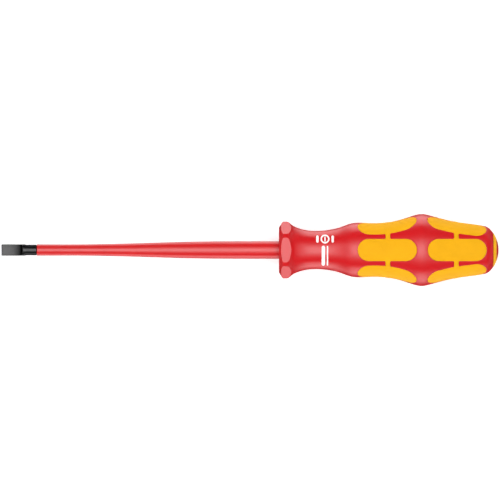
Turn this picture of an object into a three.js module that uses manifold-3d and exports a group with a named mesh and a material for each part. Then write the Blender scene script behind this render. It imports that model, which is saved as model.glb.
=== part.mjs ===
// Insulated slotted screwdriver, fixed blade, 1.0 x 5.5 x 125 class.
//
// Frame: millimetres. The tool's axis is X. The origin is the centre of the blade's end face, and the
// handle lies towards +X. The blade's broad faces and one pair of handle flats face +Z and -Z, so the
// tool lies on a table with +Z up, on a flat of its front flange and on the bulge of its handle.
//
// The tool is a stack of mouldings round one steel bar:
//   blade              forged bar: ground tip, bare neck, thinned waist, full shank, anti-turn wings
//   blade_insulation   sleeve on the bar, from the neck to a collar inside the handle
//   handle_core        first moulding, round the wings and the sleeve's collar
//   handle_shell       hard outer moulding: flange, finger neck, grip pockets, seat of the tail ring
//   soft_grip_front    six soft pads and the web that joins them, in the front pockets
//   soft_grip_rear     the same, in the rear pockets
//   tail_ring          soft ring on the shell's end
//   tail_plug          hard domed plug inside the ring, its stem in the core

import * as THREE from 'three';
import { mergeVertices } from 'three/addons/utils/BufferGeometryUtils.js';
import Module from 'manifold-3d';

const wasm = await Module();
wasm.setup();

// ---------------------------------------------------------------- driving dimensions

const bladeLength = 124.5;             // end face of the tip to the front face of the handle
const handleLength = 98.5;             // front face of the handle to the end of the tail dome

// Blade. Lengths are measured from the end face of the tip.
const tip = {
  width: 5.1,
  thickness: 1.0,
  parallelEnd: 1.6,                    // the flanks are parallel up to here
  grindStart: 6.2,                     // then they open slowly up to here
  grindHalf: 0.82,                     // half thickness there
  grindEnd: 9.7,                       // and a round grind runs out on the neck here
  drawnInEnd: 11.2,                    // the sides are drawn in to the neck up to here
};
const forgedWidening = 1.3;            // width of the forged end over the neck's diameter
const neckRadius = 2.38;               // bare steel behind the tip
const bareLength = 15.9;               // start of the insulation
const waistRadius = 1.5;               // steel under the slim stretch of the insulation
const shankRadius = 2.75;              // steel under the thick stretch and in the handle
const waistEnd = 43;                   // the steel grows from one to the other between these
const shankStart = 94;
const embeddedBlade = 66;              // length of the bar inside the handle
const barChamfer = 1;
const wings = { start: 28, length: 16, span: 9.6, thickness: 2.4 };  // start from the handle's front

// Insulation. Lengths are measured from the end face of the tip.
const slimRadius = 2.55;
const swell = [                        // radius where the slim stretch grows into the thick one
  [38, slimRadius], [48.5, 2.72], [58, 2.95], [64.5, 3.15], [71, 3.35], [77.8, 3.55],
  [84.5, 3.71], [91, 3.82], [97.5, 3.88], [110, 3.92],
];
const rootRadius = 3.93;               // at the handle
const embeddedSleeve = 12;             // length inside the handle, up to the collar
const collar = { length: 3, height: 0.7 };

// Handle. Lengths are measured from its front face; radii are those of its six corners.
const flatCount = 6;
const gripFlatness = 0.012;            // how far a flat lies below the corner circle, as a share of it
const flatnessRamp = [5, 12];          // the round flange turns into the six-sided grip here
const flange = { apothem: 11.57, length: 6.2 };
const flangeOutline = [[0, 10.14], [1.4, 12.38], [1.9, 12.8], [3.7, 12.78], [4.4, 12.5], [5.25, 11.74]];
const tailFace = 96;                   // where the shell ends and the tail ring begins
const gripOutline = [
  [6.4, 10.86], [8, 10.1], [10, 9.43], [12, 8.96], [14.5, 8.64], [17, 8.56], [19.8, 8.7],
  [22.5, 9.04], [25.3, 9.61], [28, 10.42], [30, 11.17], [32, 11.83], [33.6, 12.13], [35.2, 12.26],
  [40, 12.12], [46, 12.17], [49, 12.47], [52, 13], [55, 13.78], [58, 14.73], [61.6, 15.84],
  [63, 16.11], [64.3, 16.17], [65.6, 16.01], [67, 15.69], [72, 14.35], [75.5, 13.46], [79, 12.72],
  [83, 12.11], [87, 11.59], [91.5, 10.9], [93, 10.52], [94.2, 9.83], [95.2, 8.83],
  [tailFace, 7.88],
];

const pad = { halfLength: 13.25, halfWidth: 5, depth: 1, proud: 0.12 };
const padRings = {                     // the web lies a little off the middle of the pads
  front: { centre: 48.4, webShift: 0.3 },
  rear: { centre: 79.7, webShift: -0.35 },
};
const webHalfLength = 1.05;            // half the length of the web between two pads

const coreFlatness = 0.1;              // the core is six-sided under the grips, so the shell can't turn
const coreOutline = [[8, 5.9], [24, 5.9], [36, 8], [88, 8], [90.5, 5]];
const coreFlatStart = [22, 30];
const coreFlatEnd = [87.5, 88.5];

const tailDomeRadius = 14;
const tailRing = { outerRadius: 7.7, innerRadius: 5.1, stubRadius: 6.3, depth: 2.2 };
const plugStem = { radius: 3, length: 8 };

const fitGap = 0.1;                    // between two turned faces
const cutGap = 0.15;                   // between a pad and its pocket, and round the wings
const roundSegments = 24;              // facets round every turned piece
const beyond = 1;                      // how far a cutter runs past what it cuts

// ---------------------------------------------------------------- solids

/** A closed three.js geometry as a solid. */
function solidOf(geometry) {
  const bare = geometry.clone();
  bare.deleteAttribute('normal');
  bare.deleteAttribute('uv');
  const merged = mergeVertices(bare, 1e-4);
  return new wasm.Manifold(new wasm.Mesh({
    numProp: 3,
    vertProperties: merged.attributes.position.array,
    triVerts: new Uint32Array(merged.index.array),
  }));
}

/** A solid as a three.js geometry. */
function geometryOf(solid) {
  const mesh = solid.getMesh();
  const geometry = new THREE.BufferGeometry();
  geometry.setAttribute('position', new THREE.BufferAttribute(mesh.vertProperties, 3));
  geometry.setIndex(new THREE.BufferAttribute(mesh.triVerts, 1));
  geometry.computeVertexNormals();
  return geometry;
}

/** Turns an outline of [x, radius] points about X. The outline starts and ends on the axis or closes. */
function turned(outline) {
  const points = outline.map(([x, radius]) => new THREE.Vector2(radius, x));
  const geometry = new THREE.LatheGeometry(points, roundSegments);
  geometry.rotateZ(-Math.PI / 2);
  return geometry;
}

/** Presses a turned geometry into a rounded hexagon. flatness(x) is a flat's depth as a share. */
function pressed(geometry, flatness) {
  const position = geometry.attributes.position;
  for (let i = 0; i < position.count; i += 1) {
    const point = new THREE.Vector3().fromBufferAttribute(position, i);
    const angle = Math.atan2(point.y, point.z);
    const scale = 1 - flatness(point.x) * (1 + Math.cos(flatCount * angle)) / 2;
    position.setXYZ(i, point.x, point.y * scale, point.z * scale);
  }
  return geometry;
}

/** A prism along Z whose outline is [x, half width] points and their mirror image about X. */
function mirroredPrism(outline, reach) {
  const above = outline.map(([x, half]) => new THREE.Vector2(x, half));
  const below = outline.map(([x, half]) => new THREE.Vector2(x, -half)).reverse();
  const shape = new THREE.Shape([...above, ...below]);
  const prism = new THREE.ExtrudeGeometry(shape, { depth: 2 * reach, bevelEnabled: false });
  prism.translate(0, 0, -reach);
  return prism;
}

/** Values from one to the other in equal steps, both ends included. */
const steps = (from, to, count) => (
  Array.from({ length: count + 1 }, (_, i) => THREE.MathUtils.lerp(from, to, i / count))
);

const closedOnAxis = (outline) => [[outline[0][0], 0], ...outline, [outline.at(-1)[0], 0]];
const widened = (outline, by) => outline.map(([x, radius]) => [x, radius + by]);
const moved = (outline, by) => outline.map(([x, radius]) => [x + by, radius]);

// ---------------------------------------------------------------- blade

const barEnd = bladeLength + embeddedBlade;
const wingsCentre = bladeLength + wings.start + wings.length / 2;

/** Radius of the steel behind the bare neck. */
const barOutline = [
  [bareLength - 0.6, neckRadius],
  [bareLength + 0.4, waistRadius],
  [waistEnd, waistRadius],
  [shankStart, shankRadius],
];

/** Half thickness of the tip, ending in a round grind that meets the neck. */
function flankOutline() {
  const run = tip.grindEnd - tip.grindStart;
  const rise = neckRadius - tip.grindHalf;
  const grindRadius = (run ** 2 + rise ** 2) / (2 * rise);
  const grind = steps(0, run, 5).map((along) => [
    tip.grindStart + along,
    tip.grindHalf + grindRadius - Math.sqrt(grindRadius ** 2 - along ** 2),
  ]);
  return [[0, tip.thickness / 2], [tip.parallelEnd, tip.thickness / 2], ...grind];
}

function wingPlate(gap) {
  const plate = new THREE.BoxGeometry(
    wings.length + 2 * gap, wings.span + 2 * gap, wings.thickness + 2 * gap,
  );
  plate.translate(wingsCentre, 0, 0);
  return plate;
}

function makeBlade() {
  const forgedEnd = steps(tip.grindEnd - beyond, tip.drawnInEnd, 4).map((x) => [x, neckRadius]);
  const bar = turned(closedOnAxis([
    [0, neckRadius],
    ...forgedEnd,
    ...barOutline,
    [barEnd - barChamfer, shankRadius],
    [barEnd, shankRadius - barChamfer],
  ]));
  const position = bar.attributes.position;
  for (let i = 0; i < position.count; i += 1) {
    const drawnIn = THREE.MathUtils.smoothstep(position.getX(i), tip.grindEnd - beyond, tip.drawnInEnd);
    position.setY(i, position.getY(i) * THREE.MathUtils.lerp(forgedWidening, 1, drawnIn));
  }

  const clear = wings.span;
  const behindTip = [[tip.grindEnd, clear], [barEnd + beyond, clear]];
  const flanks = mirroredPrism([...flankOutline(), ...behindTip], clear);
  flanks.rotateX(Math.PI / 2);
  const sides = mirroredPrism([[0, tip.width / 2], [tip.drawnInEnd, tip.width / 2],
    [tip.drawnInEnd, clear], [barEnd + beyond, clear]], clear);
  return solidOf(bar).intersect(solidOf(flanks)).intersect(solidOf(sides)).add(solidOf(wingPlate(0)));
}

/** The room that the steel takes in the mouldings. */
function bladeSpace() {
  const outline = [[bareLength - beyond, neckRadius], ...barOutline, [barEnd + fitGap, shankRadius]];
  return solidOf(turned(closedOnAxis(widened(outline, fitGap)))).add(solidOf(wingPlate(cutGap)));
}

// ---------------------------------------------------------------- insulation

/** The sleeve's outside, grown by a gap. It swells smoothly from slim to thick. */
function sleeveBody(gap) {
  const collarStart = bladeLength + embeddedSleeve;
  return solidOf(turned(closedOnAxis(widened([
    [bareLength - gap, slimRadius - 0.1],
    [bareLength + 0.25, slimRadius],
    ...swell,
    [bladeLength, rootRadius],
    [collarStart - gap, rootRadius],
    [collarStart - gap, rootRadius + collar.height],
    [collarStart + collar.length + gap, rootRadius + collar.height],
  ], gap))));
}

// ---------------------------------------------------------------- handle core

const flatShare = (x, [start, end]) => THREE.MathUtils.smoothstep(x - bladeLength, start, end);
const coreFlats = (x) => coreFlatness * (flatShare(x, coreFlatStart) - flatShare(x, coreFlatEnd));

/** The core's outside from its front end to a given distance, grown by a gap. */
function coreBody(end, gap) {
  const outline = widened([...coreOutline, [end, coreOutline.at(-1)[1]]], gap);
  outline[0][0] -= gap;
  return solidOf(pressed(turned(closedOnAxis(moved(outline, bladeLength))), coreFlats));
}

// ---------------------------------------------------------------- tail

/** Distance from the handle's front face at which the tail dome has a given radius. */
const domeAt = (radius) => handleLength - tailDomeRadius + Math.sqrt(tailDomeRadius ** 2 - radius ** 2);
const domeOutline = (from, to) => steps(from, to, 4).map((radius) => [domeAt(radius), radius]);

const ringSeatDepth = tailRing.depth + fitGap;
const plugHeadRadius = tailRing.innerRadius - fitGap;
const plugSeat = tailFace - ringSeatDepth - fitGap;   // the core's end, under the plug's head

function makeTailRing() {
  const base = tailFace - tailRing.depth;
  const lip = tailFace + fitGap;
  return solidOf(turned(moved([
    [base, tailRing.innerRadius],
    [base, tailRing.stubRadius],
    [lip, tailRing.stubRadius],
    [lip, tailRing.outerRadius],
    ...domeOutline(tailRing.outerRadius, tailRing.innerRadius),
    [base, tailRing.innerRadius],
  ], bladeLength)));
}

function makeTailPlug() {
  const head = plugSeat + fitGap;
  return solidOf(turned(moved([
    [head - plugStem.length, 0],
    [head - plugStem.length, plugStem.radius],
    [head, plugStem.radius],
    [head, plugHeadRadius],
    ...domeOutline(plugHeadRadius, 0),
  ], bladeLength)));
}

function plugStemSpace() {
  const outline = [
    [plugSeat - plugStem.length - fitGap, plugStem.radius + fitGap],
    [plugSeat + beyond, plugStem.radius + fitGap],
  ];
  return solidOf(turned(closedOnAxis(moved(outline, bladeLength))));
}

function ringSeat() {
  const outline = [
    [tailFace - ringSeatDepth, tailRing.stubRadius + fitGap],
    [tailFace + beyond, tailRing.stubRadius + fitGap],
  ];
  return solidOf(turned(closedOnAxis(moved(outline, bladeLength))));
}

// ---------------------------------------------------------------- shell and soft grips

const gripFlats = (x) => gripFlatness * flatShare(x, flatnessRamp);

/** The handle's outside, from its front face to the tail face, moved in or out by an offset. */
function gripBody(offset) {
  const outline = widened([...flangeOutline, ...gripOutline], offset);
  return solidOf(pressed(turned(closedOnAxis(moved(outline, bladeLength))), gripFlats));
}

/** The six-sided prism that cuts the flats of the flange, and a box that spares the rest. */
function flangeEnvelope() {
  const circumradius = flange.apothem / Math.cos(Math.PI / flatCount);
  const prism = new THREE.CylinderGeometry(circumradius, circumradius, flange.length + beyond, flatCount);
  prism.rotateZ(-Math.PI / 2);
  prism.rotateX(Math.PI / flatCount);
  prism.translate(bladeLength + (flange.length - beyond) / 2, 0, 0);

  const behindLength = handleLength;
  const across = 2 * handleLength;
  const behind = new THREE.BoxGeometry(behindLength, across, across);
  behind.translate(bladeLength + flange.length + behindLength / 2 - 0.01, 0, 0);
  return solidOf(prism).add(solidOf(behind));
}

/** What stands over one ring of pads: six stadium prisms and the web's disc, grown by a gap. */
function padPrisms({ centre, webShift }, gap) {
  const inside = 5;
  const outside = 20;
  const endRadius = pad.halfWidth + gap;
  const straight = pad.halfLength - pad.halfWidth;
  const stadium = new THREE.Shape();
  stadium.absarc(straight, 0, endRadius, -Math.PI / 2, Math.PI / 2, false);
  stadium.absarc(-straight, 0, endRadius, Math.PI / 2, 3 * Math.PI / 2, false);
  const block = new THREE.ExtrudeGeometry(stadium, {
    depth: outside - inside,
    bevelEnabled: false,
    curveSegments: 7,
  });
  block.translate(bladeLength + centre, 0, inside);

  const webLength = 2 * (webHalfLength + gap);
  const disc = new THREE.CylinderGeometry(outside, outside, webLength, roundSegments);
  disc.rotateZ(-Math.PI / 2);
  disc.translate(bladeLength + centre + webShift, 0, 0);

  let prisms = solidOf(disc);
  for (let i = 0; i < flatCount; i += 1) {
    const turnedBlock = block.clone().rotateX((2 * Math.PI * i) / flatCount);
    prisms = prisms.add(solidOf(turnedBlock));
  }
  return prisms;
}

const makeGrip = (ring) => (
  padPrisms(ring, 0).intersect(gripBody(pad.proud)).subtract(gripBody(-pad.depth))
);
const gripPocket = (ring) => padPrisms(ring, cutGap).subtract(gripBody(-pad.depth - cutGap));

// ---------------------------------------------------------------- assembly

const materials = {
  steel: new THREE.MeshStandardMaterial({ color: 0x2b2a2b, roughness: 0.45, metalness: 0.9 }),
  insulation: new THREE.MeshStandardMaterial({ color: 0xd8282c, roughness: 0.3, metalness: 0 }),
  hardRed: new THREE.MeshStandardMaterial({ color: 0xd8292f, roughness: 0.3, metalness: 0 }),
  coreRed: new THREE.MeshStandardMaterial({ color: 0xb01c1c, roughness: 0.35, metalness: 0 }),
  softYellow: new THREE.MeshStandardMaterial({ color: 0xfab91c, roughness: 0.6, metalness: 0 }),
};

const screwdriver = new THREE.Group();

function addPart(name, solid, material) {
  const mesh = new THREE.Mesh(geometryOf(solid), material);
  mesh.name = name;
  screwdriver.add(mesh);
}

const steelSpace = bladeSpace();
const sleeveSpace = sleeveBody(fitGap);
const sleeve = sleeveBody(0).subtract(steelSpace);
const core = coreBody(plugSeat, 0).subtract(steelSpace).subtract(sleeveSpace).subtract(plugStemSpace());
const shell = gripBody(0)
  .intersect(flangeEnvelope())
  .subtract(coreBody(tailFace + beyond, fitGap))
  .subtract(sleeveSpace)
  .subtract(ringSeat())
  .subtract(gripPocket(padRings.front))
  .subtract(gripPocket(padRings.rear));

addPart('blade', makeBlade(), materials.steel);
addPart('blade_insulation', sleeve, materials.insulation);
addPart('handle_core', core, materials.coreRed);
addPart('handle_shell', shell, materials.hardRed);
addPart('soft_grip_front', makeGrip(padRings.front), materials.softYellow);
addPart('soft_grip_rear', makeGrip(padRings.rear), materials.softYellow);
addPart('tail_ring', makeTailRing(), materials.softYellow);
addPart('tail_plug', makeTailPlug(), materials.hardRed);

export default screwdriver;
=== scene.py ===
"""Insulated slotted screwdriver: its looks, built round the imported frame. Lengths are in millimetres."""
import math

import bmesh
import bpy
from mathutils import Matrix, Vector
from mathutils.geometry import delaunay_2d_cdt


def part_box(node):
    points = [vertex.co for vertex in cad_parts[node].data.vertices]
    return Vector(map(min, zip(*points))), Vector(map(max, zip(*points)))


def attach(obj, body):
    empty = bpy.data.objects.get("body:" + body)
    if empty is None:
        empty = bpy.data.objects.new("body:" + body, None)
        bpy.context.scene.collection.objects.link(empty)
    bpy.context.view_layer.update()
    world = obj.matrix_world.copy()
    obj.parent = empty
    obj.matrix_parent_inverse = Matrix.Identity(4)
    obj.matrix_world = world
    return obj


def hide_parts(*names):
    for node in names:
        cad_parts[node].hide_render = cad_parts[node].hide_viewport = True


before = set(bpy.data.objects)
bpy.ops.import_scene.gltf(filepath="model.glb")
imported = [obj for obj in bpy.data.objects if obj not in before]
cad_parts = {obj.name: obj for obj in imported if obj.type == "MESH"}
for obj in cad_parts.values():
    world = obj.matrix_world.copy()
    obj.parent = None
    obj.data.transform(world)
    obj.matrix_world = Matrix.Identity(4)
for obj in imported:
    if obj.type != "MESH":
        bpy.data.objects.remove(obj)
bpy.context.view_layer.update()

MM = 0.001

# ---------------------------------------------------------------- places taken from the frame


def node_span(name):
    """Where a CAD node starts and ends along the tool."""
    low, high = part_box(name)
    return (low / MM).x, (high / MM).x


BLADE_START, BLADE_END = node_span("blade")
SLEEVE_START, SLEEVE_END = node_span("blade_insulation")
SHELL_START, SHELL_END = node_span("handle_shell")
RING_START = node_span("tail_ring")[0]
PLUG_START, PLUG_END = node_span("tail_plug")

FRONT = SHELL_START                      # the handle's front face
TAIL_FACE = SHELL_END - FRONT            # handle lengths below are measured from the front face
TAIL_END = PLUG_END - FRONT
TOOL_MIDDLE = (BLADE_START + PLUG_END) / 2
FLAT_COUNT = 6
WEDGE = math.pi / FLAT_COUNT             # from the middle of a flat to a corner

# ---------------------------------------------------------------- small helpers

MERGED, COLLAPSED = 2e-6, 1e-7           # metres: points this close are merged, edges this short go
SAME_POINT = 1e-7                        # to a triangulation, points this close are one
CLEARANCE = 0.6                          # from an outline to the points inside it, in spacings
ROW_PITCH = 0.87                         # between rows of those points, in spacings


def lerp(a, b, t):
    return a + (b - a) * t


def steps(a, b, count):
    """count equal steps from a to b, both ends included."""
    return [lerp(a, b, i / count) for i in range(count + 1)]


def smooth(x, low, high):
    t = min(max((x - low) / (high - low), 0.0), 1.0)
    return t * t * (3 - 2 * t)


def natural_spline(points):
    """A curve of smooth curvature through (x, y) points, as a function of x."""
    xs = [p[0] for p in points]
    ys = [p[1] for p in points]
    last = len(xs) - 1
    gaps = [xs[i + 1] - xs[i] for i in range(last)]
    upper = [0.0] * (last + 1)
    rest = [0.0] * (last + 1)
    for i in range(1, last):
        bend = 6 * ((ys[i + 1] - ys[i]) / gaps[i] - (ys[i] - ys[i - 1]) / gaps[i - 1])
        pivot = 2 * (gaps[i - 1] + gaps[i]) - gaps[i - 1] * upper[i - 1]
        upper[i] = gaps[i] / pivot
        rest[i] = (bend - gaps[i - 1] * rest[i - 1]) / pivot
    second = [0.0] * (last + 1)
    for i in range(last - 1, 0, -1):
        second[i] = rest[i] - upper[i] * second[i + 1]

    def value(x):
        i = 0
        while i < last - 1 and x > xs[i + 1]:
            i += 1
        gap, before, after = gaps[i], x - xs[i], xs[i + 1] - x
        cubic = (second[i] * after ** 3 + second[i + 1] * before ** 3) / (6 * gap)
        start = (ys[i] / gap - second[i] * gap / 6) * after
        return cubic + start + (ys[i + 1] / gap - second[i + 1] * gap / 6) * before

    return value


def polar(x, radius, angle):
    """A point at a radius from the tool's axis. Angle 0 is up, along +Z."""
    return Vector((x, radius * math.sin(angle), radius * math.cos(angle)))


def new_object(name, data):
    """An object for a mesh, a light or a camera, put in the scene."""
    made = bpy.data.objects.new(name, data)
    bpy.context.scene.collection.objects.link(made)
    return made


def finished(name, points, faces, sharp_over=38):
    """An object from points: doubles merged, faces out, smooth but for edges over so many degrees."""
    mesh = bpy.data.meshes.new(name)
    mesh.from_pydata([p * MM for p in points], [], faces)
    body = bmesh.new()
    body.from_mesh(mesh)
    bmesh.ops.remove_doubles(body, verts=body.verts, dist=MERGED)
    bmesh.ops.dissolve_degenerate(body, edges=body.edges, dist=COLLAPSED)
    bmesh.ops.recalc_face_normals(body, faces=body.faces)
    for face in body.faces:
        face.smooth = True
    limit = math.radians(sharp_over)
    for edge in body.edges:
        edge.smooth = len(edge.link_faces) == 2 and edge.calc_face_angle(0) < limit
    body.to_mesh(mesh)
    body.free()
    return new_object(name, mesh)


# ---------------------------------------------------------------- one twelfth of a six-sided body


class Wedge:
    """Faces from the middle of a flat to a corner, which make a whole six-sided body."""

    def __init__(self):
        self.points = []
        self.faces = []

    def rows(self, rows):
        """Quads between rows of equally many points."""
        base, across = len(self.points), len(rows[0])
        for row in rows:
            self.points.extend(row)
        for i in range(len(rows) - 1):
            for j in range(across - 1):
                a = base + i * across + j
                self.faces.append((a, a + 1, a + across + 1, a + across))

    def patch(self, points, triangles):
        base = len(self.points)
        self.points.extend(points)
        self.faces.extend(tuple(base + i for i in t) for t in triangles)

    def whole(self, name, **options):
        """The wedge, its mirror image, and both turned round the axis, as one object."""
        points, faces = [], []
        for turn in range(FLAT_COUNT):
            cosine, sine = math.cos(2 * WEDGE * turn), math.sin(2 * WEDGE * turn)
            for side in (1, -1):
                base = len(points)
                for p in self.points:
                    y = p.y * side
                    points.append(Vector((p.x, y * cosine + p.z * sine, p.z * cosine - y * sine)))
                for face in self.faces:
                    order = face if side > 0 else face[::-1]
                    faces.append(tuple(base + i for i in order))
        return finished(name, points, faces, **options)


# ---------------------------------------------------------------- the handle's outside

CHAMFER_SLOPE = 1.6                      # front chamfer, up to the round of the flange
CHAMFER_FOOT, CHAMFER_END = 10.14, 1.4
CHAMFER_ROUND = 0.5
FLANGE_RADIUS = 12.8
FLANGE_APOTHEM = 11.57
FLANGE_END = 3.7                         # behind it the flange falls to the finger neck
FACETS_END = 7.0
BULGE = 64.4                             # where the handle is thickest
GRIP_FLATNESS = 0.012                    # how far a flat lies below the corners, as a share
FLATNESS_FADE = (5, 12)                  # where that flatness sets in
ANGLE_ROUNDS = 6                         # of refining an angle, more than enough
neck_and_grip = natural_spline([
    (FLANGE_END, 12.78), (4.4, 12.5), (5.25, 11.74), (8, 10.1), (12, 8.96), (17, 8.56), (22.5, 9.04),
    (28, 10.42), (32, 11.83), (35.2, 12.26), (40, 12.12), (46, 12.17), (52, 13.0), (58, 14.73),
    (61.6, 15.84), (64.3, 16.17), (67, 15.69), (72, 14.35), (79, 12.72), (87, 11.59), (91.5, 10.9),
    (94.2, 9.83), (TAIL_FACE, 7.88),
])


def corner_radius(x):
    """Radius of the handle's corners at a distance from its front face."""
    if x < CHAMFER_END:
        return CHAMFER_FOOT + CHAMFER_SLOPE * x
    if x < CHAMFER_END + CHAMFER_ROUND:
        left = 1 - (x - CHAMFER_END) / CHAMFER_ROUND
        rise = FLANGE_RADIUS - CHAMFER_FOOT - CHAMFER_SLOPE * CHAMFER_END
        return FLANGE_RADIUS - rise * left ** 2
    if x < FLANGE_END:
        return FLANGE_RADIUS
    return neck_and_grip(x)


def flattened(radius, flatness, angle):
    """A corner's radius, carried over to an angle from the middle of a slightly rounded flat."""
    return radius * (1 - flatness * (1 + math.cos(FLAT_COUNT * angle)) / 2)


def outside(x, angle):
    """Radius of the handle at a distance from its front face and an angle from the middle of a flat."""
    radius = flattened(corner_radius(x), GRIP_FLATNESS * smooth(x, *FLATNESS_FADE), angle)
    if x < FACETS_END:
        radius = min(radius, FLANGE_APOTHEM / math.cos(angle))
    return radius


def angle_at(x, y):
    """Angle of the surface point whose distance from the flat's middle plane is y."""
    angle = 0.0
    for _ in range(ANGLE_ROUNDS):
        angle = math.asin(y / outside(x, angle))
    return angle


# ---------------------------------------------------------------- outlines of the soft pads

PAD_HALF_WIDTH = 5.0
WEB_HALF_LENGTH = 1.05
WEB_SHIFT = {"soft_grip_front": 0.3, "soft_grip_rear": -0.35}     # from the middle of the pads
FILLET = 0.5                             # in the corner between a pad and its web
GROOVE = 0.07                            # between the pads and the shell
POCKET_DEPTH = 1.15
PAD_DEPTH = 1.0
PAD_PROUD = 0.07
PAD_CROWN = 0.1                          # how much the middle of a pad stands over its rim
CROWN_REACH = 3                          # from the rim to where the crown is full
PAD_EDGE = 0.16                          # radius of the pads' edges
SHELL_EDGE = 0.09                        # radius of the pockets' edges
SPACING = 0.8                            # of the points inside a patch
HIDDEN_SPACING = 1.6                     # of those that the pads cover
SURFACE = 12.0                           # radius at which an angle is weighed against a length
END_PARTS, SIDE_PARTS, FILLET_PARTS, WEB_PARTS = 18, 9, 4, 3      # of an outline
EDGE_PARTS = 6                           # of a rounded edge


class PadRing:
    """One ring of six pads, as its node's box places it."""

    def __init__(self, node):
        start, end = node_span(node)
        self.centre = (start + end) / 2 - FRONT
        self.straight = (end - start) / 2 - PAD_HALF_WIDTH
        self.web_shift = WEB_SHIFT[node]

    def loop(self, side, offset):
        """(x, angle) points along the front (-1) or rear (1) outline, moved out by an offset."""
        radius = PAD_HALF_WIDTH + offset
        fillet = FILLET - offset
        corner_x = WEB_HALF_LENGTH + FILLET + side * self.web_shift
        corner_y = PAD_HALF_WIDTH + FILLET
        flat = [(self.straight + radius * math.cos(a), radius * math.sin(a))
                for a in steps(0, math.pi / 2, END_PARTS)]
        flat += [(x, radius) for x in steps(self.straight, corner_x, SIDE_PARTS)[1:-1]]
        flat += [(corner_x - fillet * math.sin(a), corner_y - fillet * math.cos(a))
                 for a in steps(0, math.pi / 2, FILLET_PARTS)]
        loop = []
        for x, y in flat:
            at = self.centre + side * x
            loop.append((at, angle_at(at, y)))
        at, start = loop[-1]
        return loop + [(at, angle) for angle in steps(start, WEDGE, WEB_PARTS)[1:]]

    def inside(self, x, angle):
        """How far a point lies inside the outline; negative outside it."""
        y = outside(x, angle) * math.sin(angle)
        along = abs(x - self.centre)
        to_pad = PAD_HALF_WIDTH - math.hypot(max(along - self.straight, 0), y)
        return max(to_pad, WEB_HALF_LENGTH - abs(x - self.centre - self.web_shift))


PADS = [PadRing("soft_grip_front"), PadRing("soft_grip_rear")]


def line(start, end):
    """Points along a straight stretch of a patch's outline, its start left out."""
    length = math.hypot(end[0] - start[0], (end[1] - start[1]) * SURFACE)
    count = max(1, round(length / SPACING))
    return [(lerp(start[0], end[0], i / count), lerp(start[1], end[1], i / count))
            for i in range(1, count + 1)]


def closed_outline(stretches):
    """Joins stretches of (x, angle) points, with straight lines between their ends."""
    outline = []
    for stretch in stretches:
        if outline:
            outline += line(outline[-1], stretch[0])[:-1]
        outline += stretch
    return outline + line(outline[-1], outline[0])[:-1]


def filled(outline, spacing=SPACING, crease=()):
    """Points and triangles that fill an outline of (x, angle) points, along a crease if there is one."""
    flat = [Vector((x, angle * SURFACE)) for x, angle in outline]
    fixed = len(flat)
    flat += [Vector((x, angle * SURFACE)) for x, angle in crease]
    edges = [(fixed + i, fixed + i + 1) for i in range(len(crease) - 1)]
    held = list(flat)
    cells = {}
    for p in held:
        cells.setdefault((int(p.x // spacing), int(p.y // spacing)), []).append(p)

    def clear(p):
        """Whether a point keeps its distance from the outline and the crease."""
        column, row = int(p.x // spacing), int(p.y // spacing)
        places = [(column + i, row + j) for i in (-1, 0, 1) for j in (-1, 0, 1)]
        near = [q for place in places for q in cells.get(place, [])]
        return all((p - q).length > CLEARANCE * spacing for q in near)

    low = Vector((min(p.x for p in held), min(p.y for p in held)))
    high = Vector((max(p.x for p in held), max(p.y for p in held)))
    across = max(1, round((high.y - low.y) / (spacing * ROW_PITCH)))
    for j in range(1, across):
        y = lerp(low.y, high.y, j / across)
        x = low.x + spacing * (0.5 if j % 2 else 1.0)
        while x < high.x:
            p = Vector((x, y))
            if clear(p):
                flat.append(p)
            x += spacing
    found = delaunay_2d_cdt(flat, edges, [list(range(fixed))], 1, SAME_POINT)
    return [(p.x, p.y / SURFACE) for p in found[0]], found[2]


def on_surface(points, drop=lambda x, angle: 0.0):
    """(x, angle) points on the handle's outside, each sunk by drop."""
    return [polar(FRONT + x, outside(x, angle) - drop(x, angle), angle) for x, angle in points]


def sunk(loop, depth):
    return on_surface(loop, lambda x, angle: depth)


def rounded_rim(ring, side, start, radius, outward, raised):
    """Rows along an outline, from where its edge begins to round to where its wall begins."""
    rows = []
    for a in steps(0, math.pi / 2, EDGE_PARTS):
        offset = start + outward * radius * math.sin(a)
        rows.append(sunk(ring.loop(side, offset), radius * (1 - math.cos(a)) - raised))
    return rows


# ---------------------------------------------------------------- handle shell

COLUMNS = 20                             # of a wedge's rows
SKIN_START, SKIN_END = 0.2, 94.6         # of the patched skin, with the two rims beyond
PLAIN_END, PLAIN_ROWS = 33.6, 44         # of the neck's skin, up to the pads
FLANGE_SPACING = 0.45                    # of the points on the flange
CREASE_PARTS = 60
HALVINGS = 40
FRONT_RIM = [(0.1, 10.3), (0.03, 10.15), (0, 9.9), (0, 7.6), (0, 5.3), (0.04, 5.05), (0.35, 4.6)]
BORE = [(0.6, 4.35), (1.0, 4.05), (7.9, 4.05)]                    # for the sleeve
CORE_ROOM = [(8, 6.0), (24, 6.0), (36, 8.1), (88, 8.1), (90.5, 5.1), (93.7, 5.1)]
CORE_FLATNESS = 0.1                      # of the room for the six-sided core
CORE_FLATS = ((22, 30), (87.5, 88.5))    # where its flats set in and where they end
SEAT_RADIUS = 6.4                        # of the tail ring's seat
TAIL_RIM_RADII = (SEAT_RADIUS, 7.4, 7.6)
TAIL_RIM_DEPTHS = (0.1, 0.5, 1.0)        # before the tail face


def level_row(x):
    """(x, angle) points across the wedge."""
    return [(x, angle) for angle in steps(0, WEDGE, COLUMNS)]


def turned_row(x, radius):
    """Points across the wedge at one radius."""
    return [polar(FRONT + x, radius, angle) for angle in steps(0, WEDGE, COLUMNS)]


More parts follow.
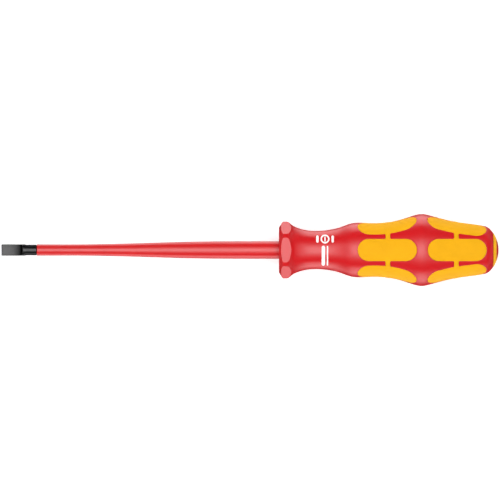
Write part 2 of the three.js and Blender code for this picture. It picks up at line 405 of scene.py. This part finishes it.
def core_row(x, radius):
    """Inside of the shell round the six-sided core."""
    set_in, end = CORE_FLATS
    flatness = CORE_FLATNESS * (smooth(x, *set_in) - smooth(x, *end))
    return [polar(FRONT + x, flattened(radius, flatness, angle), angle)
            for angle in steps(0, WEDGE, COLUMNS)]


def facet_limit(below, above):
    """Where the round of the flange crosses its flats, between a place below and one above them."""
    for _ in range(HALVINGS):
        middle = (below + above) / 2
        if corner_radius(middle) < FLANGE_APOTHEM:
            below = middle
        else:
            above = middle
    return above


def flange_crease():
    """The edge of a flange flat, where the flat meets the round of the flange."""
    first, last = facet_limit(0, FLANGE_END), facet_limit(FACETS_END, FLANGE_END)
    edge = []
    for a in steps(0, math.pi, CREASE_PARTS):
        x = lerp(first, last, (1 - math.cos(a)) / 2)
        edge.append((x, math.acos(min(1.0, FLANGE_APOTHEM / corner_radius(x)))))
    return edge


def shell_patch(wedge, near, far, **options):
    """Skin between a front and a rear line of (x, angle) points."""
    points, triangles = filled(closed_outline([near, far[::-1]]), **options)
    wedge.patch(on_surface(points), triangles)


def make_shell():
    """The skin, the pockets for the pads, both rims and the inside."""
    wedge = Wedge()
    front_pads, rear_pads = PADS
    rim = GROOVE / 2 + SHELL_EDGE
    skin_start, facets_end = level_row(SKIN_START), level_row(FACETS_END)
    shell_patch(wedge, skin_start, facets_end, spacing=FLANGE_SPACING, crease=flange_crease())
    wedge.rows([on_surface(level_row(x)) for x in steps(FACETS_END, PLAIN_END, PLAIN_ROWS)])
    shell_patch(wedge, level_row(PLAIN_END), front_pads.loop(-1, rim))
    shell_patch(wedge, front_pads.loop(1, rim), rear_pads.loop(-1, rim))
    shell_patch(wedge, rear_pads.loop(1, rim), level_row(SKIN_END))

    for ring in PADS:
        floor = {}
        for side in (-1, 1):
            floor[side] = ring.loop(side, GROOVE / 2)
            rows = rounded_rim(ring, side, rim, SHELL_EDGE, -1, 0)
            wedge.rows(rows + [sunk(floor[side], POCKET_DEPTH)])
        points, triangles = filled(closed_outline([floor[-1], floor[1][::-1]]), HIDDEN_SPACING)
        wedge.patch(sunk(points, POCKET_DEPTH), triangles)

    rows = [on_surface(skin_start)]
    rows += [turned_row(x, radius) for x, radius in FRONT_RIM + BORE]
    rows += [core_row(x, radius) for x, radius in CORE_ROOM]
    rows += [turned_row(CORE_ROOM[-1][0], SEAT_RADIUS)]
    rows += [turned_row(TAIL_FACE, radius) for radius in TAIL_RIM_RADII]
    rows += [on_surface(level_row(TAIL_FACE - depth)) for depth in TAIL_RIM_DEPTHS]
    wedge.rows(rows + [on_surface(level_row(SKIN_END))])
    return wedge.whole("handle_shell_moulding", sharp_over=20)


# ---------------------------------------------------------------- soft grips


def make_grip(ring, name):
    """One ring of pads with crowned faces, joined by their webs."""
    wedge = Wedge()
    rim = GROOVE / 2 + PAD_EDGE
    lips, floors = {}, {}
    for side in (-1, 1):
        lips[side] = ring.loop(side, -rim)
        floors[side] = ring.loop(side, -GROOVE / 2)
        rows = rounded_rim(ring, side, -rim, PAD_EDGE, 1, PAD_PROUD)
        wedge.rows(rows + [sunk(floors[side], PAD_DEPTH)])

    def raised(x, angle):
        return -PAD_PROUD - PAD_CROWN * smooth(ring.inside(x, angle) - rim, 0, CROWN_REACH)

    points, triangles = filled(closed_outline([lips[-1], lips[1][::-1]]))
    wedge.patch(on_surface(points, raised), triangles)
    points, triangles = filled(closed_outline([floors[-1], floors[1][::-1]]), HIDDEN_SPACING)
    wedge.patch(sunk(points, PAD_DEPTH), triangles)
    return wedge.whole(name)


# ---------------------------------------------------------------- blade

TIP_HALF_WIDTH = 2.55
TIP_BEVEL = (0.28, 0.16)                 # width and depth, along the edges of the broad faces
BEVEL_FADE = (5, 7.5)                    # where that bevel runs out
END_BEVEL = 0.1                          # of the sides, at the tip's end face
NECK_RADIUS = 2.38
WAIST_RADIUS = 1.5
SHANK_RADIUS = 2.75
REAR_CHAMFER = 1
STEP_START, STEP_END = SLEEVE_START - 0.3, SLEEVE_START + 0.3     # from the neck down to the waist
WAIST_END, SHANK_START = 43, 94          # the blade thickens between them
FORGED_WIDENING = 1.3                    # width of the forged end over the neck's diameter
FORGED_FADE = (8.5, 11.2)                # where the forged end narrows to the neck
GRIND_END = 9.7                          # of the hollow of the broad faces
SIDES_END = 11.7                         # of the grinding of the sides
TIP_PARALLEL = 1.4                       # up to here the tip is evenly thick
tip_half_thickness = natural_spline([
    (TIP_PARALLEL, 0.5), (3.4, 0.56), (5.4, 0.72), (6.8, 0.94), (7.9, 1.27), (8.8, 1.68),
    (GRIND_END, 2.39),
])
STATIONS = [                             # (from, to, steps) of the sections up to the waist
    (0.5, 8.0, 19), (8.25, GRIND_END, 8), (9.95, 15, 12), (STEP_START, STEP_END, 6),
]
WINGS = (28.0, 44.0)                     # from the handle's front face
WING_HALF_SPAN, WING_HALF_THICKNESS = 4.8, 1.2
WING_RISE = 0.02                         # length over which a wing stands out of the shank
FACE_PARTS, ROUND_PARTS, SIDE_FACE_PARTS = 6, 16, 4               # of a quarter of a section


def bar_radius(x):
    """Radius of the round bar that the blade is forged and ground from."""
    if x < STEP_START:
        return NECK_RADIUS
    if x < STEP_END:
        return lerp(NECK_RADIUS, WAIST_RADIUS, smooth(x, STEP_START, STEP_END))
    if x < SHANK_START:
        thickening = max(0.0, (x - WAIST_END) / (SHANK_START - WAIST_END))
        return lerp(WAIST_RADIUS, SHANK_RADIUS, thickening)
    return SHANK_RADIUS


def quarter_section(x, winged=False):
    """(y, z) points from the middle of a broad face to the middle of a side."""
    height = bar_radius(x)
    width = height * lerp(FORGED_WIDENING, 1, smooth(x, *FORGED_FADE))
    half_width = min(width, TIP_HALF_WIDTH) if x < SIDES_END else width
    hollow = tip_half_thickness(max(x, TIP_PARALLEL)) if x < GRIND_END else height
    half_thickness = min(height, hollow)
    top = min(width * math.sqrt(max(0.0, 1 - (half_thickness / height) ** 2)), half_width)
    side = min(height * math.sqrt(max(0.0, 1 - (half_width / width) ** 2)), half_thickness)
    if winged:
        side = WING_HALF_THICKNESS
    if top >= half_width:
        share = 1 - smooth(x, *BEVEL_FADE)
        bevel_width, bevel_depth = TIP_BEVEL[0] * share, TIP_BEVEL[1] * share
        top, side = half_width - bevel_width, half_thickness - bevel_depth
        arc = [(half_width - bevel_width * (1 - t), half_thickness - bevel_depth * t)
               for t in steps(0, 1, ROUND_PARTS)[1:-1]]
    else:
        first, last = math.asin(min(1.0, half_thickness / height)), math.asin(min(1.0, side / height))
        arc = [(width * math.cos(a), height * math.sin(a)) for a in steps(first, last, ROUND_PARTS)[1:-1]]
    if winged:
        half_width = WING_HALF_SPAN
        arc[-1] = (width * math.cos(last), side)
    face = [(y, half_thickness) for y in steps(0, top, FACE_PARTS)]
    return face + arc + [(half_width, z) for z in steps(side, 0, SIDE_FACE_PARTS)]


def tip_end(section):
    """A section drawn in by the bevels at the tip's end face."""
    share = 1 - TIP_BEVEL[1] / tip_half_thickness(TIP_PARALLEL)
    return [(y - END_BEVEL if y == TIP_HALF_WIDTH else y, z * share) for y, z in section]


def shank_end(section):
    """A section drawn in by the chamfer at the blade's rear end."""
    share = 1 - REAR_CHAMFER / SHANK_RADIUS
    return [(y * share, z * share) for y, z in section]


def make_blade():
    """Tip, neck, waist and shank, with the two wings that hold it in the handle."""
    stations = [TIP_BEVEL[0]]
    for start, end, count in STATIONS:
        stations += steps(start, end, count)
    wing_start, wing_end = FRONT + WINGS[0], FRONT + WINGS[1]
    stations += [WAIST_END, SHANK_START, wing_start]
    winged = (wing_start + WING_RISE, wing_end - WING_RISE)
    sections = [(0.0, tip_end(quarter_section(0.0)))]
    sections += [(x, quarter_section(x)) for x in stations]
    sections += [(x, quarter_section(x, winged=True)) for x in winged]
    sections += [(x, quarter_section(x)) for x in (wing_end, BLADE_END - REAR_CHAMFER)]
    sections += [(BLADE_END, shank_end(quarter_section(BLADE_END)))]

    points, faces = [], []
    for x, quarter in sections:
        right = quarter[:-1] + [(y, -z) for y, z in quarter[:0:-1]]
        loop = right + [(-y, -z) for y, z in right]
        points += [Vector((x, y, z)) for y, z in loop]
    around = len(points) // len(sections)
    for i in range(len(sections) - 1):
        for j in range(around):
            k = (j + 1) % around
            here, there = i * around, (i + 1) * around
            faces.append((here + j, here + k, there + k, there + j))
    faces.append(tuple(range(around)))
    faces.append(tuple(range(len(points) - around, len(points))))
    return finished("blade_forged", points, faces, sharp_over=18)


# ---------------------------------------------------------------- turned pieces

TURNED_PARTS = 96                        # of a full turn
ARC_PARTS = 4                            # of a rounded edge


def turned(name, outline):
    """A closed outline of (x, radius) points, x from the blade's end face, turned about the axis."""
    points, faces = [], []
    for turn in range(TURNED_PARTS):
        angle = 2 * math.pi * turn / TURNED_PARTS
        points += [polar(x, radius, angle) for x, radius in outline]
    count = len(outline)
    for turn in range(TURNED_PARTS):
        here, there = turn * count, (turn + 1) % TURNED_PARTS * count
        for i in range(count):
            j = (i + 1) % count
            faces.append((here + i, here + j, there + j, there + i))
    return finished(name, points, faces)


def rounded(x, radius, edge, start, end):
    """An arc of an outline round the centre (x, radius). Its angle is 0 along +X and rises outwards."""
    return [(x + edge * math.cos(a), radius + edge * math.sin(a)) for a in steps(start, end, ARC_PARTS)]


# ---------------------------------------------------------------- insulation

SLIM_RADIUS = 2.55
SLEEVE_EDGE = 0.16
ROOT_RADIUS = 3.93                       # at the handle
COLLAR_RADIUS, COLLAR_LENGTH = 4.6, 3
SLEEVE_GAP = 0.1                         # between the blade and the insulation
MOUTH_LENGTH, MOUTH_INSET = 0.4, 0.25    # where the neck enters the insulation
FIRST_ROW, SLEEVE_ROWS = 1, 90           # rows from this far behind its front end to the handle
sleeve_radius = natural_spline([
    (SLEEVE_START, SLIM_RADIUS), (38, SLIM_RADIUS), (48.5, 2.72), (58, 2.95), (71, 3.35), (84.5, 3.71),
    (97.5, 3.88), (110, 3.92), (FRONT, ROOT_RADIUS),
])


def make_sleeve():
    start, end = SLEEVE_START, SLEEVE_END
    collar = end - COLLAR_LENGTH
    shank, waist = SHANK_RADIUS + SLEEVE_GAP, WAIST_RADIUS + SLEEVE_GAP
    outline = rounded(start + SLEEVE_EDGE, SLIM_RADIUS - SLEEVE_EDGE, SLEEVE_EDGE, math.pi, math.pi / 2)
    outline += [(x, sleeve_radius(x)) for x in steps(start + FIRST_ROW, FRONT, SLEEVE_ROWS)]
    outline += [(collar, ROOT_RADIUS), (collar, COLLAR_RADIUS), (end, COLLAR_RADIUS)]
    outline += [(end, shank), (SHANK_START, shank), (WAIST_END, waist)]
    outline += [(start + MOUTH_LENGTH, waist), (start, NECK_RADIUS - MOUTH_INSET)]
    return turned("blade_insulation_sleeve", outline)


# ---------------------------------------------------------------- tail

DOME_RADIUS = 14.0
RING_OUTER, RING_INNER, RING_STUB = 7.7, 5.1, 6.3
RING_GAP = 0.08                          # between the shell's tail face and the ring's lip
RING_DOME_PARTS, PLUG_DOME_PARTS = 12, 14
PLUG_RADIUS, STEM_RADIUS = 5.0, 3.0
PLUG_LEAD = 0.1                          # by which the plug's head starts before the ring
TAIL_EDGE = 0.12


def dome(outer, inner, count):
    """(x, radius) points of the tail's dome, from an outer radius in to an inner one."""
    centre = FRONT + TAIL_END - DOME_RADIUS
    return [(centre + math.sqrt(DOME_RADIUS ** 2 - radius ** 2), radius)
            for radius in steps(outer, inner, count)]


def make_tail_ring():
    base, lip = RING_START, FRONT + TAIL_FACE + RING_GAP
    face = dome(RING_OUTER - TAIL_EDGE, RING_INNER + TAIL_EDGE, RING_DOME_PARTS)
    outline = [(base, RING_INNER), (base, RING_STUB), (lip, RING_STUB), (lip, RING_OUTER)]
    outline += face + [(face[-1][0] - TAIL_EDGE, RING_INNER)]
    return turned("tail_ring_moulding", outline)


def make_tail_plug():
    stem, head = PLUG_START, RING_START - PLUG_LEAD
    face = dome(PLUG_RADIUS - TAIL_EDGE, 0.0, PLUG_DOME_PARTS)
    outline = [(stem, 0.0), (stem, STEM_RADIUS), (head, STEM_RADIUS), (head, PLUG_RADIUS)]
    outline += [(face[0][0] - TAIL_EDGE, PLUG_RADIUS)] + face
    return turned("tail_plug_moulding", outline)


# ---------------------------------------------------------------- print on the finger neck

INK_TOP, INK_BOTTOM = 0.04, 0.012        # over the shell
MARK_X, MARK_Y = 20.6, 4.9               # centre of the ring, x from the handle's front face
RING_RADII = (1.35, 2.0)
RING_PARTS = 48
STRIPES = [                              # (name, x from MARK_X, width, start and end along Y, spacing)
    ("print_slot", 0, 0.62, 3.75, 6.05, 0.3),
    ("print_bar_front", -3.4, 1.1, 3.3, 6.5, 0.3),
    ("print_bar_rear", 3.4, 1.1, 3.3, 6.5, 0.3),
    ("print_stripe_wide", -0.75, 1.5, -7.0, 1.9, 0.45),
    ("print_stripe_narrow", 1.1, 0.6, -7.0, 1.9, 0.3),
]
STRIPE_ROUND, STRIPE_SIDE = 8, 12        # parts of a stripe's ends and sides


def ink(name, flat, triangles):
    """A thin layer of ink on the neck from flat (x, y) points and triangles, seen from above."""
    points = []
    for over in (INK_TOP, INK_BOTTOM):
        for x, y in flat:
            angle = angle_at(x, y)
            points.append(polar(FRONT + x, outside(x, angle) + over, angle))
    count = len(flat)
    faces = [tuple(t) for t in triangles] + [tuple(i + count for i in t[::-1]) for t in triangles]
    sides = [(i, j) for t in triangles for i, j in zip(t, [*t[1:], t[0]])]
    known = set(sides)
    faces += [(j, i, i + count, j + count) for i, j in sides if (j, i) not in known]
    return finished(name, points, faces, sharp_over=30)


def stripe(x, width, start, end):
    """(x, y) outline of a stripe with round ends, along Y."""
    radius = width / 2
    low, high = start + radius, end - radius

    def half_round(y, first, last):
        return [(x + radius * math.cos(a), y + radius * math.sin(a))
                for a in steps(first, last, STRIPE_ROUND)]

    rim = half_round(low, math.pi, 2 * math.pi)
    rim += [(x + radius, y) for y in steps(low, high, STRIPE_SIDE)[1:-1]]
    rim += half_round(high, 0, math.pi)
    rim += [(x - radius, y) for y in steps(high, low, STRIPE_SIDE)[1:-1]]
    return rim


def filled_flat(rim, spacing):
    """(x, y) points and triangles that fill an outline."""
    outline = [Vector(p) for p in rim]
    flat = list(outline)
    xs, ys = [p.x for p in outline], [p.y for p in outline]
    for i in range(1, int((max(xs) - min(xs)) / spacing)):
        for j in range(1, int((max(ys) - min(ys)) / spacing)):
            p = Vector((min(xs) + i * spacing, min(ys) + j * spacing))
            if all((p - q).length > spacing * CLEARANCE for q in outline):
                flat.append(p)
    found = delaunay_2d_cdt(flat, [], [list(range(len(rim)))], 1, SAME_POINT)
    return [tuple(p) for p in found[0]], found[2]


def circle_band(x, y, inner, outer):
    """(x, y) points and triangles of a flat ring."""
    flat, triangles = [], []
    for i in range(RING_PARTS):
        a = 2 * math.pi * i / RING_PARTS
        flat += [(x + r * math.cos(a), y + r * math.sin(a)) for r in (inner, outer)]
    for i in range(RING_PARTS):
        here, there = 2 * i, 2 * ((i + 1) % RING_PARTS)
        triangles += [(here, here + 1, there + 1), (here, there + 1, there)]
    return flat, triangles


def make_print():
    marks = [ink("print_ring", *circle_band(MARK_X, MARK_Y, *RING_RADII))]
    for name, x, width, start, end, spacing in STRIPES:
        marks.append(ink(name, *filled_flat(stripe(MARK_X + x, width, start, end), spacing)))
    return marks


# ---------------------------------------------------------------- materials

HARD_RED = (0.575, 0.009, 0.0125)
INSULATION_RED = (0.585, 0.01, 0.012)
CORE_RED = (0.5, 0.012, 0.014)
PLUG_RED = (0.5, 0.01, 0.012)
YELLOW = (0.79, 0.385, 0.007)
BLACK_STEEL = ((0.035, 0.0345, 0.035), (0.042, 0.0415, 0.042))    # the two tones of its coating
STEEL_TINT = (0.15, 0.15, 0.16, 1)
WHITE_INK = ((0.83, 0.82, 0.81), (0.93, 0.93, 0.92))
DARKER, LIGHTER = 0.96, 1.03             # how far a plastic's colour wanders
NOISE_SPAN = (0.3, 0.7)                  # where most of a noise's values lie
MIX_COLOURS, MIX_RESULT = (6, 7), 2      # a Mix node's sockets for colours


class Shader:
    """A Principled material and its texture nodes, all read from the object's own coordinates."""

    def __init__(self, name, roughness, **sockets):
        self.material = bpy.data.materials.new(name)
        self.material.use_nodes = True
        self.tree = self.material.node_tree
        self.shader = self.tree.nodes["Principled BSDF"]
        self.shader.inputs["Roughness"].default_value = roughness
        for socket, value in sockets.items():
            self.shader.inputs[socket.replace("_", " ")].default_value = value
        self.place = self.tree.nodes.new("ShaderNodeTexCoord").outputs["Object"]

    def link(self, output, socket):
        self.tree.links.new(output, socket)

    def noise(self, size, detail, stretch=(1, 1, 1), roughness=0.5):
        """Noise whose features are about size millimetres across."""
        mapping = self.tree.nodes.new("ShaderNodeMapping")
        mapping.inputs["Scale"].default_value = stretch
        self.link(self.place, mapping.inputs["Vector"])
        texture = self.tree.nodes.new("ShaderNodeTexNoise")
        texture.inputs["Scale"].default_value = 1 / (size * MM)
        texture.inputs["Detail"].default_value = detail
        texture.inputs["Roughness"].default_value = roughness
        self.link(mapping.outputs["Vector"], texture.inputs["Vector"])
        return texture.outputs["Fac"]

    def ranged(self, value, low, high, out_low, out_high):
        """A value carried over from the span low to high to the span out_low to out_high."""
        node = self.tree.nodes.new("ShaderNodeMapRange")
        numbers = {"From Min": low, "From Max": high, "To Min": out_low, "To Max": out_high}
        for socket, number in numbers.items():
            node.inputs[socket].default_value = number
        self.link(value, node.inputs["Value"])
        return node.outputs["Result"]

    def separated(self, axis):
        """One coordinate of the object's own space, in metres."""
        node = self.tree.nodes.new("ShaderNodeSeparateXYZ")
        self.link(self.place, node.inputs["Vector"])
        return node.outputs[axis]

    def math(self, operation, *values):
        """A Math node over numbers and node outputs."""
        node = self.tree.nodes.new("ShaderNodeMath")
        node.operation = operation
        for value, socket in zip(values, node.inputs):
            if isinstance(value, float):
                socket.default_value = value
            else:
                self.link(value, socket)
        return node.outputs[0]

    def mixed(self, share, *colours):
        """A colour between two colours."""
        node = self.tree.nodes.new("ShaderNodeMix")
        node.data_type = "RGBA"
        self.link(share, node.inputs["Factor"])
        for colour, socket in zip(colours, MIX_COLOURS):
            node.inputs[socket].default_value = (*colour, 1)
        return node.outputs[MIX_RESULT]

    def colour(self, output):
        self.link(output, self.shader.inputs["Base Color"])

    def roughness(self, output):
        self.link(output, self.shader.inputs["Roughness"])

    def bump(self, height, depth):
        """Bumps of depth millimetres."""
        node = self.tree.nodes.new("ShaderNodeBump")
        node.inputs["Strength"].default_value = 1.0
        node.inputs["Distance"].default_value = depth * MM
        self.link(height, node.inputs["Height"])
        self.link(node.outputs["Normal"], self.shader.inputs["Normal"])


def shades(colour):
    """The darkest and the lightest shade that a plastic's colour wanders to."""
    return [tuple(c * share for c in colour) for share in (DARKER, LIGHTER)]


def moulded(name, colour, roughness, waviness=0, specular=0.5):
    """Hard glossy plastic: faint flow marks in the colour, a little haze in the gloss, perhaps waviness."""
    shader = Shader(name, roughness, IOR=1.5, Specular_IOR_Level=specular)
    shader.colour(shader.mixed(shader.noise(12, 1, (0.35, 1, 1)), *shades(colour)))
    haze = shader.ranged(shader.noise(8, 1), *NOISE_SPAN, roughness - 0.01, roughness + 0.015)
    shader.roughness(haze)
    if waviness:
        shader.bump(shader.noise(6, 2), waviness)
    return shader.material


def soft_elastomer():
    """Matte soft moulding with a fine eroded grain and slightly uneven colour."""
    shader = Shader("soft_elastomer", 0.7, IOR=1.45, Specular_IOR_Level=0.1)
    uneven = shader.ranged(shader.noise(6, 4), *NOISE_SPAN, 0, 1)
    shader.colour(shader.mixed(uneven, *shades(YELLOW)))
    shader.roughness(shader.ranged(shader.noise(0.5, 4), *NOISE_SPAN, 0.66, 0.76))
    shader.bump(shader.noise(0.22, 4, roughness=0.6), 0.012)
    return shader.material


def black_steel():
    """Phosphated steel: dark satin, fine grinding lines across the tip, cloudy coating."""
    shader = Shader("black_phosphated_steel", 0.34, Metallic=1.0, Specular_Tint=STEEL_TINT)
    cloudy = shader.ranged(shader.noise(1.1, 5), *NOISE_SPAN, 0, 1)
    shader.colour(shader.mixed(cloudy, *BLACK_STEEL))
    shader.roughness(shader.ranged(shader.noise(0.5, 4), *NOISE_SPAN, 0.27, 0.34))
    shader.bump(shader.noise(0.35, 3, (6, 0.4, 1)), 0.004)
    return shader.material


def white_ink():
    shader = Shader("white_ink", 0.42, IOR=1.45)
    shader.colour(shader.mixed(shader.noise(0.6, 4), *WHITE_INK))
    shader.bump(shader.noise(0.1, 2), 0.002)
    return shader.material


def dress(piece, material, slot, *nodes):
    """Gives a piece its material and its body, and hides the nodes it stands for; the slot is not used."""
    piece.data.materials.clear()
    piece.data.materials.append(material)
    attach(piece, "root")
    if nodes:
        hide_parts(*nodes)


hard_red = moulded("hard_red_plastic", HARD_RED, 0.3)
insulation_red = moulded("insulation_red_plastic", INSULATION_RED, 0.33, specular=0.6)
core_red = moulded("core_red_plastic", CORE_RED, 0.35, waviness=0.01)
plug_red = moulded("plug_red_plastic", PLUG_RED, 0.33, waviness=0.006)
elastomer = soft_elastomer()
ink_white = white_ink()

dress(make_blade(), black_steel(), "black_steel", "blade")
dress(make_sleeve(), insulation_red, "insulation_red", "blade_insulation")
dress(make_shell(), hard_red, "shell_red", "handle_shell")
dress(make_grip(PADS[0], "soft_grip_front_pads"), elastomer, "soft_yellow", "soft_grip_front")
dress(make_grip(PADS[1], "soft_grip_rear_pads"), elastomer, "soft_yellow", "soft_grip_rear")
dress(make_tail_ring(), elastomer, "soft_yellow", "tail_ring")
dress(make_tail_plug(), plug_red, "plug_red", "tail_plug")
for mark in make_print():
    dress(mark, ink_white, "shell_red")
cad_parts["handle_core"].data.materials[0] = core_red       # hidden inside, as the frame gives it

# ---------------------------------------------------------------- camera, light and floor

VIEW_WIDTH = 224.35                      # what the frame spans at the tool's axis
CAMERA_HEIGHT = 4.0                      # metres, as are the lengths below
CLIP_END = 50
SENSOR = 36                              # millimetres
LIGHTS_X = 0.11                          # near the middle of the tool
LIGHTS = [                               # (name, height, size along X and Y, brightness)
    ("key_centre", 0.85, (0.7, 0.5), 2.8),
    ("key", 0.86, (1.6, 1.05), 1.55),
    ("ceiling", 0.87, (2.2, 2.2), 0.38),
]
FLOOR_HALF = 6.5
FLOOR_DROP = 0.00005                     # between the bulge of the handle and the floor
FLOOR_TONES = ((0.8, 0.8, 0.8), (0.82, 0.82, 0.82))
FLOOR_GLOW = (0.5, 1.6)                  # of the floor, beside the tool and further out
DIM_STRIP = (0.016, 0.045)               # between these distances from the tool the glow grows
BACKDROP = [(5.6, -1.0), (5.8, 0.0), (6.2, 2.0), (6.2, 6.0)]      # (radius, height)
BACKDROP_SIDES = 48
WORLD_GLOW = 2.6
# The studio's glow by direction: the weights of a direction's coordinates, and (sum, level) pairs.
GLOW_ALONG = ((1, 0, 0), [(-0.5, 0), (-0.15, 1), (0.15, 1), (0.5, 0)])
GLOW_HEIGHT = ((0, 0.12, 1), [(-0.86, 0), (-0.5, 1), (-0.1, 1), (0.14, 0)])


def make_camera():
    data = bpy.data.cameras.new("camera")
    data.sensor_width = SENSOR
    data.lens = SENSOR * CAMERA_HEIGHT / (VIEW_WIDTH * MM)
    data.clip_end = CLIP_END
    camera = new_object("camera", data)
    camera.location = (TOOL_MIDDLE * MM, 0, CAMERA_HEIGHT)
    bpy.context.scene.camera = camera


def make_lights():
    """Soft boxes that face down. One of brightness 1 would show as plain white."""
    for name, height, (length, width), brightness in LIGHTS:
        data = bpy.data.lights.new(name, "AREA")
        data.shape = "RECTANGLE"
        data.size, data.size_y = length, width
        data.energy = brightness * math.pi * length * width
        new_object(name, data).location = (LIGHTS_X, 0, height)


def flat_stage(name, points, faces, material, hidden_from):
    """A part of the studio, left out of some kinds of ray."""
    mesh = bpy.data.meshes.new(name)
    mesh.from_pydata(points, [], faces)
    mesh.materials.append(material)
    piece = new_object(name, mesh)
    for kind in hidden_from:
        setattr(piece, "visible_" + kind, False)
    return piece


def make_floor():
    """A pale floor that glows, less so near the tool, and all but touches the bulge of the handle."""
    shader = Shader("floor_white", 0.8, Emission_Color=(1, 1, 1, 1))
    shader.colour(shader.mixed(shader.noise(40, 3), *FLOOR_TONES))
    across = shader.math("ABSOLUTE", shader.separated("Y"))
    along = shader.math("SUBTRACT", shader.math("ABSOLUTE", shader.separated("X")), TOOL_MIDDLE * MM)
    away = shader.math("MAXIMUM", across, along)
    glow = shader.ranged(away, *DIM_STRIP, *FLOOR_GLOW)
    shader.link(glow, shader.shader.inputs["Emission Strength"])
    corners = [(x * FLOOR_HALF, y * FLOOR_HALF, 0) for x, y in ((-1, -1), (1, -1), (1, 1), (-1, 1))]
    floor = flat_stage("floor", corners, [(0, 1, 2, 3)], shader.material, ["glossy"])
    floor.location = (TOOL_MIDDLE * MM, 0, -corner_radius(BULGE) * MM - FLOOR_DROP)


def make_backdrop():
    """A white wall all round, behind the tool in low views."""
    shader = Shader("backdrop_white", 0.9, Emission_Color=(1, 1, 1, 1), Emission_Strength=1.0)
    points, faces = [], []
    for radius, z in BACKDROP:
        for i in range(BACKDROP_SIDES):
            angle = 2 * math.pi * i / BACKDROP_SIDES
            points.append((radius * math.cos(angle), radius * math.sin(angle), z))
    for row in range(len(BACKDROP) - 1):
        for i in range(BACKDROP_SIDES):
            here = row * BACKDROP_SIDES + i
            there = row * BACKDROP_SIDES + (i + 1) % BACKDROP_SIDES
            faces.append((here, there, there + BACKDROP_SIDES, here + BACKDROP_SIDES))
    flat_stage("backdrop", points, faces, shader.material, ["diffuse", "glossy", "shadow"])


def make_world():
    """A dark studio with a soft glow low on both sides, as white boards beside the tool would give."""
    world = bpy.data.worlds.new("studio")
    world.use_nodes = True
    world.cycles.sampling_method = "NONE"
    tree = world.node_tree
    direction = tree.nodes.new("ShaderNodeTexCoord").outputs["Generated"]

    def spread(weights, ramp):
        """A ramp over a weighted sum of the direction's coordinates."""
        dot = tree.nodes.new("ShaderNodeVectorMath")
        dot.operation = "DOT_PRODUCT"
        dot.inputs[1].default_value = weights
        tree.links.new(direction, dot.inputs[0])
        halved = tree.nodes.new("ShaderNodeMapRange")
        halved.inputs["From Min"].default_value = -1
        tree.links.new(dot.outputs["Value"], halved.inputs["Value"])
        node = tree.nodes.new("ShaderNodeValToRGB")
        node.color_ramp.interpolation = "EASE"
        stops = node.color_ramp.elements
        while len(stops) < len(ramp):
            stops.new(0.5)
        for stop, (place, level) in zip(stops, ramp):
            stop.position = (place + 1) / 2
            stop.color = (level, level, level, 1)
        tree.links.new(halved.outputs["Result"], node.inputs["Fac"])
        return node.outputs["Color"]

    both = tree.nodes.new("ShaderNodeMix")
    both.data_type = "RGBA"
    both.blend_type = "MULTIPLY"
    both.inputs["Factor"].default_value = 1
    for socket, glow in zip(MIX_COLOURS, (GLOW_ALONG, GLOW_HEIGHT)):
        tree.links.new(spread(*glow), both.inputs[socket])
    background = tree.nodes["Background"]
    background.inputs["Strength"].default_value = WORLD_GLOW
    tree.links.new(both.outputs[MIX_RESULT], background.inputs["Color"])
    bpy.context.scene.world = world


make_camera()
make_floor()
make_backdrop()
make_world()
make_lights()
bpy.context.scene.view_settings.view_transform = "Standard"
